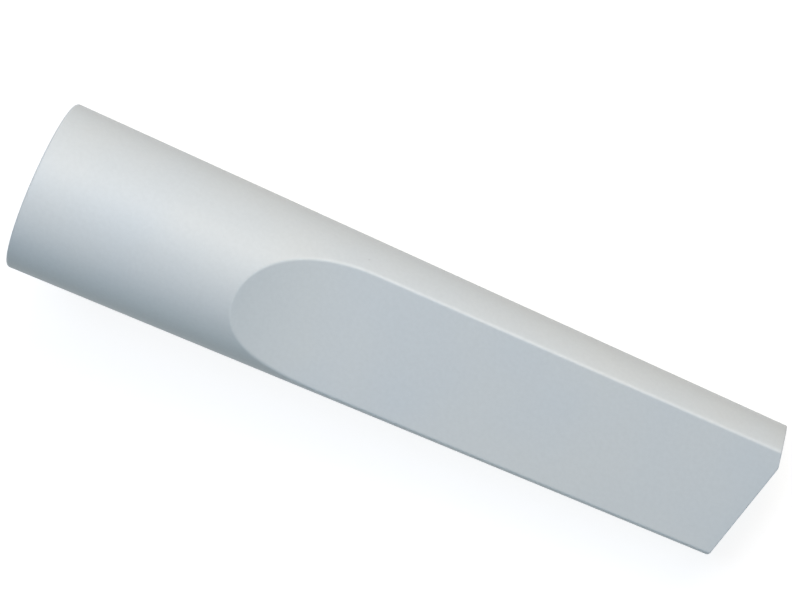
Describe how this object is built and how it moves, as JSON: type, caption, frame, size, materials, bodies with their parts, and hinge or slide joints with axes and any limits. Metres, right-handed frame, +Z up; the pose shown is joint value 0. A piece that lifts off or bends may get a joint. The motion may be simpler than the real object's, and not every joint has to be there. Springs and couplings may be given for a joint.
{
  "type": "vacuum crevice tool",
  "caption": "Tapered tube with a round push-on socket, run into a flat narrow nozzle with a sloped slot mouth, moulded in one piece, for vacuuming gaps.",
  "frame": {"origin": "middle of the socket's rim, on the tool's axis", "axes": "+X along the tool to the mouth, which is pitched 4.77 degrees down as the tool lies at rest; +Y along the slot's height to the nose; +Z up"},
  "size_m": [0.1757, 0.0394, 0.0425],
  "materials": {
    "grey_plastic": "fine moulded texture, satin"
  },
  "bodies": {
    "root": {"crevice_tool": "grey_plastic"}
  },
  "joints": []
}
